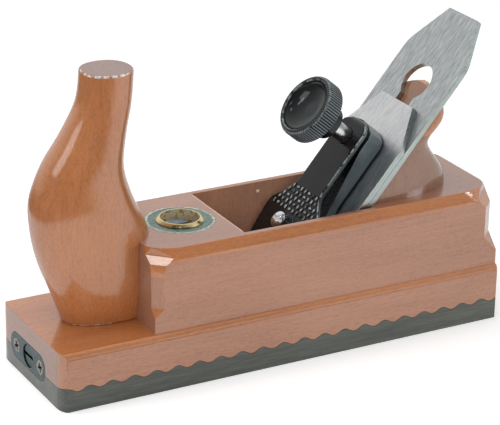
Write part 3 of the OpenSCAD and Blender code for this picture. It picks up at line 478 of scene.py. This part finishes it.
# Hand guard
GUARD_TOP, GUARD_HALF_W, GUARD_DEEP = 0.111, 0.0223, 0.0474
GUARD_ROWS = [
    (0, 1, 1), (0.085, 0.99, 0.99), (0.18, 0.95, 0.975), (0.27, 0.89, 0.955), (0.35, 0.83, 0.94),
    (0.42, 0.782, 0.925), (0.475, 0.757, 0.91), (0.52, 0.758, 0.9), (0.565, 0.79, 0.88), (0.61, 0.85, 0.855),
    (0.655, 0.905, 0.83), (0.7, 0.942, 0.8), (0.77, 0.957, 0.75), (0.86, 0.945, 0.63), (0.93, 0.92, 0.47),
    (0.975, 0.89, 0.29), (1, 0.87, 0.12)]


def bed_x(z):
    return BED_FOOT + IRON_T / math.sin(BED) + z / math.tan(BED)


def guard_ring(height, deep_share, half_share, n=112):
    z = DECK + height * (GUARD_TOP - DECK)
    front, half = bed_x(z), GUARD_HALF_W * half_share
    deep = max(deep_share * GUARD_DEEP + bed_x(DECK) - front, 3 * MM)
    ring = []
    for i in range(n):
        c, s = math.cos(2 * math.pi * i / n), math.sin(2 * math.pi * i / n)
        ring.append((front + (deep * rounded(c, 0.58) if c > 0 else 4 * MM * c), half * rounded(s, 0.58), z))
    return ring


count = 6 * (len(GUARD_ROWS) - 1)
bm = lofted([guard_ring(*(through([row[k] for row in GUARD_ROWS], i / count) for k in range(3)))
             for i in range(count + 1)])
tools = bmesh.new()
block(tools, (0, -0.04, -IRON_T), (0.18, 0.04, 0.02), ON_BED)
block(tools, (0.0735, -0.01, -IRON_T - 0.005), (0.1145, 0.01, 0), ON_BED)
for x in (bed_x(DECK) + 0.019, bed_x(DECK) + 0.033):
    rod(tools, x, 0, DECK - 0.011, DECK + 0.011, DOWEL_R)
bm = cut(bm, tools)
# Below 92 mm the guard takes a darker copy of its lacquer: painted shade.
paint(bm, lambda middle, normal: 1 if middle.z < 0.092 else 0)
stand_for("hand_guard_shaped", bm, "hand_guard", extra=("guard",), sharp=30)


# Thumbscrew knob: rounded knurls, a rolled rim and a dished face
KNOB_R, KNOB_TOP, KNOB_T, KNURLS, KNURL_DEEP, DISH = 0.0153, 0.0443, 0.010, 76, 0.00045, 0.005
KNOB_FOOT, HUB_R, STUD_R = KNOB_TOP - 0.018, 0.008, 0.004
low_z = KNOB_TOP - KNOB_T
LATHE = [
    (STUD_R, KNOB_TOP - DISH - 0.0025, 0), (STUD_R, KNOB_FOOT + 0.0004, 0), (STUD_R + 0.0004, KNOB_FOOT, 0),
    (HUB_R - 0.0006, KNOB_FOOT, 0), (HUB_R - 0.0002, KNOB_FOOT + 0.0002, 0), (HUB_R, KNOB_FOOT + 0.0007, 0),
    (HUB_R, low_z - 0.0012, 0), (HUB_R + 0.0003, low_z - 0.0004, 0), (HUB_R + 0.0011, low_z, 0),
    (KNOB_R - 0.0022, low_z, 0), (KNOB_R - 0.0012, low_z + 0.0002, 0.2), (KNOB_R - 0.0003, low_z + 0.0009, 0.8),
    (KNOB_R, low_z + 0.0016, 1), (KNOB_R, KNOB_TOP - 0.0020, 1), (KNOB_R - 0.0002, KNOB_TOP - 0.0013, 0.9),
    (KNOB_R - 0.0007, KNOB_TOP - 0.0006, 0.35), (KNOB_R - 0.0011, KNOB_TOP - 0.0002, 0),
    (KNOB_R - 0.0015, KNOB_TOP, 0), (KNOB_R - 0.0020, KNOB_TOP - 0.0001, 0), (KNOB_R - 0.0024, KNOB_TOP - 0.0005, 0)]
LATHE += [((KNOB_R - 0.0026) * math.cos(a), KNOB_TOP - 0.0008 - (DISH - 0.0008) * math.sin(a) / math.sin(math.radians(75)), 0)
          for a in (math.radians(75) * k / 12 for k in range(13))]
per_knurl = 8
around = KNURLS * per_knurl
rings = []
for r, z, knurled in LATHE:
    ring = []
    for i in range(around):
        a, u = 2 * math.pi * i / around, (i % per_knurl) / (per_knurl / 2) - 1
        cut_in = r - KNURL_DEEP * knurled * u * u
        ring.append(ON_BED @ Vector((0.1062 + cut_in * math.cos(a), -cut_in * math.sin(a), z)))
    rings.append(ring)


def knob_face(middle, normal):
    """Knurl crests and the rim's two edges in paler copies: painted highlights."""
    s, y, h = OFF_BED @ middle
    r = math.hypot(s - 0.1062, y)
    outer = r > KNOB_R - 0.0009 and h > KNOB_TOP - 0.0013
    if outer or KNOB_R - 0.0026 < r < KNOB_R - 0.0018 and h > KNOB_TOP - 0.0009:
        return 1
    turn = math.atan2(-y, s - 0.1062) / (2 * math.pi) * KNURLS % 1
    return 2 if r > KNOB_R - 0.0012 and abs(turn - 0.5) < 0.3 else 0


bm = lofted(rings)
paint(bm, knob_face)
stand_for("knurled_knob", bm, "thumb_knob", extra=("rim_painted_highlight", "knurls"), sharp=40)


# Lever cap: rounded casting edges, sandy sides and a generic stippled panel, with painted highlights on the sides, the
# edges and the dome tops
LEVER_OUT = Vector((-math.sin(BED), 0, math.cos(BED)))
LEVER_LIP, LEVER_WAIST, LEVER_FLARE = 12, 78, 61.4


def lever_top(s):
    """Height of the lever cap's face above the iron, s mm up from the cutting edge."""
    f = min((s - LEVER_LIP) / (LEVER_WAIST - LEVER_LIP), 1)
    return 6.2 + 8.8 * math.sin(math.pi / 2 * f)


def lever_half(s):
    f = (s - LEVER_FLARE) / (LEVER_WAIST - LEVER_FLARE)
    return 21.5 if f < 0 else 12.3 if f > 1 else 12.3 + 4.6 * (1 + math.cos(math.pi * f))


def cap_face(middle, normal):
    """Sandy sides lightened by painted highlight, a smooth face, and pale patches along the edges between them: wear
    with painted highlight.
    """
    s, y, h = OFF_BED @ middle
    out = normal.dot(LEVER_OUT)
    if 0.2 < out < 0.9 and abs(normal.y) > 0.25 and h * 1000 > lever_top(s * 1000) - 0.8 and abs(y) > 0.006:
        return 2
    return 1 if out < 0.35 else 0


bm = copied("lever_cap")
rounded_off(bm, 0.7 * MM, segments=3)
paint(bm, cap_face)
cap = stand_for("lever_cap_cast", bm, "lever_cap", extra=("cast", "cap_wear_and_highlight"))

bm = bmesh.new()
for row in range(5):
    s = 64.2 + 2.7 * row
    reach = lever_half(s) - 2.6
    places = [3.3 * (k + 0.5 * (row % 2)) for k in range(-7, 7)]
    for k, y in enumerate(y for y in places if abs(y) < reach):
        long, wide = (1.35, 0.85) if (row + k) % 3 else (0.9, 1.3)
        dome = bmesh.ops.create_icosphere(bm, subdivisions=3, radius=1)["verts"]
        for v in dome:
            v.co = ON_BED @ Vector(((s + long * v.co.x) * MM, (y + wide * v.co.y) * MM,
                                    (lever_top(s) - 0.1 + 0.75 * v.co.z) * MM))
# Dome tops facing out take the pale patches: painted highlight with wear.
paint(bm, lambda middle, normal: 1 if normal.dot(LEVER_OUT) > 0.8 else 0)
for face in bm.faces:
    face.smooth = True
panel = linked("stippled_panel", bm)
panel.data.materials.append(MATERIALS["black_casting"])
panel.data.materials.append(EXTRA["cap_wear_and_highlight"])
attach(panel, "lever")


# Irons
def iron_face(middle, normal):
    if (OFF_BED @ middle).x > 0.1815:
        return 2
    return 0 if abs(normal.dot(LEVER_OUT)) > 0.8 else 1


# The cap iron's front and back take a near-white copy of the ground steel: painted light.
def cap_iron_face(middle, normal):
    return 1 if abs(normal.dot(LEVER_OUT)) < 0.8 else 2


bm = copied("plane_iron")
rounded_off(bm, 0.18 * MM)
paint(bm, iron_face)
stand_for("ground_iron", bm, "plane_iron", extra=("iron_edge", "burr"))
bm = copied("cap_iron")
rounded_off(bm, 0.2 * MM)
paint(bm, cap_iron_face)
stand_for("ground_cap_iron", bm, "cap_iron", extra=("iron_edge", "cap"))

# Small turned and plated pieces
PLATE_X = TOE + 0.0725
for node, width in (("fulcrum_screw", 0.15), ("cap_iron_screw", 0.2), ("thumb_stud", 0.2)):
    bm = copied(node)
    rounded_off(bm, width * MM)
    stand_for(node + "_turned", bm, node)
# Of these, the clamp screw's finish is a lighter, bluer copy of dark steel: painted light in its hollow.
for node, width, key in (("toe_plate_screws", 0.08, "toe_screw"), ("adjusting_screw", 0.15, "adjuster"),
                         ("clamp_screw", 0.3, "slotted")):
    bm = copied(node)
    rounded_off(bm, width * MM)
    paint(bm, lambda middle, normal: 0 if normal.z < -0.5 else 1)
    stand_for(node + "_turned", bm, node, extra=(key,))
bm = copied("clamp_bush")
top = max(v.co.z for v in bm.verts)
ledge = [f for f in bm.faces if f.normal.z > 0.99 and f.calc_center_median().z > top - 0.0002]
for face in bmesh.ops.inset_region(bm, faces=ledge, thickness=0.45 * MM, use_even_offset=True)["faces"]:
    face.tag = False
for face in ledge:
    face.tag = True
rounded_off(bm, 0.15 * MM)
# The bush's top ledge takes the pale rim copy and its bore wall pale patches: painted highlights.
for face in bm.faces:
    x, y, z = face.calc_center_median()
    inward = face.normal.x * (x - PLATE_X) + face.normal.y * y < 0
    face.material_index = 1 if face.tag and face.normal.z > 0.99 else 2 if inward and abs(face.normal.z) < 0.5 else 0
stand_for("clamp_bush_turned", bm, "clamp_bush", extra=("plate_rim", "bore"))


# Outside 14.2 mm the deck plate takes a paler copy of its zinc: painted highlight on its rim.
def plate_face(middle, normal):
    return 1 if math.hypot(middle.x - PLATE_X, middle.y) > 0.0142 else 0


bm = copied("deck_plate")
top = [f for f in bm.faces if f.normal.z > 0.99]
bmesh.ops.inset_region(bm, faces=top, thickness=1.3 * MM, use_even_offset=True)
rounded_off(bm, 0.25 * MM)
paint(bm, plate_face)
stand_for("deck_plate_turned", bm, "deck_plate", extra=("plate_rim",))
bm = copied("toe_plate")
rounded_off(bm, 0.25 * MM)
# The whole toe plate takes a darker, bluer copy of the zinc: painted shade.
paint(bm, lambda middle, normal: 1)
stand_for("toe_plate_pressed", bm, "toe_plate", extra=("toe_zinc_painted_shade",))

# Brad in the far cheek
bm = bmesh.new()
brad = bmesh.ops.create_icosphere(bm, subdivisions=3, radius=1)["verts"]
for v in brad:
    v.co = Vector((TOE + (126 + 0.9 * v.co.x) * MM, (25.25 + 0.45 * v.co.y) * MM, (60.3 + 0.9 * v.co.z) * MM))
for face in bm.faces:
    face.smooth = True
brad = linked("cheek_brad", bm)
brad.data.materials.append(EXTRA["brad"])
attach(brad, "body")


# Stage
BEHIND = Vector((0.75, 0.65, 0.1)).normalized()


def stage_plane(name, size, glow):
    """Plain pale floor: it keeps the object's shadow, is near white to the camera, and in gloss it
    stays bright close to the object and goes over into the room further off."""
    bm = bmesh.new()
    bmesh.ops.create_grid(bm, x_segments=2, y_segments=2, size=size / 2)
    obj = linked(name, bm)
    s = Shade(name, Roughness=0.9, Specular_IOR_Level=0.0)
    tone = s.ramp(s.noise(s.coords((3, 3, 3)), 2), (0.3, 0.90), (0.7, 0.92))
    place = s.node("ShaderNodeTexCoord").outputs["Object"]
    far = s.node("ShaderNodeVectorMath", {0: place}, operation="LENGTH").outputs["Value"]
    ahead = s.node("ShaderNodeVectorMath", {0: s.node("ShaderNodeVectorMath", {0: place}, operation="NORMALIZE")
                   .outputs["Vector"], 1: (0.97, 0.24, 0)}, operation="DOT_PRODUCT").outputs["Value"]
    sweep = s.node("ShaderNodeMapRange", {"Value": ahead, "From Min": -0.35, "From Max": 0.15, "To Min": 0.05,
                   "To Max": 0.85}, interpolation_type="SMOOTHSTEP").outputs["Result"]
    near = s.node("ShaderNodeMapRange", {"Value": far, "From Min": 0.27, "From Max": 0.34, "To Min": 0.75,
                  "To Max": 0.0}, interpolation_type="SMOOTHSTEP").outputs["Result"]
    path = s.node("ShaderNodeLightPath").outputs
    lit = s.math("MAXIMUM", near, sweep)
    dim = s.math("MULTIPLY_ADD", path["Is Glossy Ray"], s.math("SUBTRACT", lit, 1.0), 1.0)
    s.put("Base Color", s.mix(1.0, tone, s.node("ShaderNodeCombineColor", {0: dim, 1: dim, 2: dim}).outputs[0],
                              "MULTIPLY"))
    seen = s.math("MAXIMUM", s.math("MAXIMUM", path["Is Camera Ray"], path["Is Glossy Ray"]), path["Is Transmission Ray"])
    s.bsdf.inputs["Emission Color"].default_value = (1, 1, 1, 1)
    s.put("Emission Strength", s.math("MULTIPLY", s.math("MULTIPLY", seen, glow), dim))
    obj.data.materials.append(s.mat)
    return obj


stage_plane("floor", 6.0, 0.34)


# Light: soft lamps for colour, and small soft boxes that only gloss picks out
def lamp(name, towards, distance, size, power, gloss=False, aim=(0, 0, 0.05), colour=(1, 1, 1)):
    light = bpy.data.lights.new(name, "AREA")
    light.shape = "RECTANGLE"
    light.size, light.size_y = size
    light.energy = power
    light.color = colour
    obj = bpy.data.objects.new(name, light)
    bpy.context.scene.collection.objects.link(obj)
    away = Vector(towards).normalized()
    obj.location = Vector(aim) + away * distance
    obj.rotation_mode = "QUATERNION"
    obj.rotation_quaternion = away.to_track_quat("Z", "Y")
    obj.visible_glossy = gloss
    return obj


lamp("front", (-0.30, -0.85, 0.50), 1.5, (1.0, 0.8), 6.6)
lamp("above", (-0.1, 0.15, 1.0), 1.6, (1.2, 1.2), 10.5)
lamp("left", (-1.0, -0.1, 0.5), 1.5, (0.8, 0.8), 1.6)
lamp("streak", (-0.82, 0.25, 0.51), 1.5, (0.6, 0.5), 1.8, gloss=True)
lamp("glint", (-0.69, 0.31, 0.65), 1.5, (0.06, 0.35), 0.5, gloss=True)
lamp("rim", (-0.33, -0.55, 0.79), 1.5, (0.5, 0.25), 0.8, gloss=True)
lamp("facet", (-0.347, 0.057, 0.936), 1.5, (0.16, 0.16), 0.45, gloss=True, aim=(-0.061, -0.028, 0.06))
lamp("heel", (0.652, -0.675, 0.346), 1.5, (0.3, 0.12), 1.2, gloss=True, aim=(0.096, -0.0288, 0.063))

world = bpy.data.worlds.new("room")
bpy.context.scene.world = world
world.use_nodes = True
tree = world.node_tree


def world_node(kind, inputs=(), **props):
    made = tree.nodes.new(kind)
    for key, value in props.items():
        setattr(made, key, value)
    for key, value in dict(inputs).items():
        if isinstance(value, bpy.types.NodeSocket):
            tree.links.new(value, made.inputs[key])
        else:
            made.inputs[key].default_value = value
    return made


# White to the camera; gloss sees the white backdrop behind and the darker room in front
ray = world_node("ShaderNodeLightPath").outputs
facing = world_node("ShaderNodeTexCoord").outputs["Generated"]
behind = world_node("ShaderNodeVectorMath", {0: facing, 1: BEHIND}, operation="DOT_PRODUCT").outputs["Value"]
room = world_node("ShaderNodeMapRange", {"Value": behind, "From Min": -0.45, "From Max": 0.6, "To Min": 0.06,
                  "To Max": 0.85}, interpolation_type="SMOOTHSTEP").outputs["Result"]
gloss = world_node("ShaderNodeMath", {0: ray["Is Glossy Ray"], 1: ray["Is Transmission Ray"]},
                   operation="MAXIMUM").outputs[0]
soft = world_node("ShaderNodeMix", {0: gloss, 2: 0.31, 3: room}, data_type="FLOAT").outputs[0]
level = world_node("ShaderNodeMath", {0: ray["Is Camera Ray"], 1: soft}, operation="MAXIMUM").outputs[0]
back_light = tree.nodes["Background"]
back_light.inputs["Color"].default_value = (1, 1, 1, 1)
tree.links.new(level, back_light.inputs["Strength"])

# Camera, fitted to the photograph
AZIMUTH, ELEVATION, ROLL = map(math.radians, (-29.15, 22.15, 1.14))
TARGET = Vector((-0.00348, 0, 0.06209))
DISTANCE = 1.039
back = Vector((math.sin(AZIMUTH) * math.cos(ELEVATION), -math.cos(AZIMUTH) * math.cos(ELEVATION), math.sin(ELEVATION)))
side = (-back).cross(Vector((0, 0, 1))).normalized()
lift = side.cross(-back)
right = math.cos(ROLL) * side + math.sin(ROLL) * lift
up = -math.sin(ROLL) * side + math.cos(ROLL) * lift
camera = bpy.data.cameras.new("camera")
camera.sensor_width = 36
camera.lens = 166.1
eye = bpy.data.objects.new("camera", camera)
bpy.context.scene.collection.objects.link(eye)
eye.matrix_world = Matrix.Translation(TARGET + back * DISTANCE) @ Matrix((right, up, back)).transposed().to_4x4()
bpy.context.scene.camera = eye
bpy.context.scene.view_settings.view_transform = "Standard"
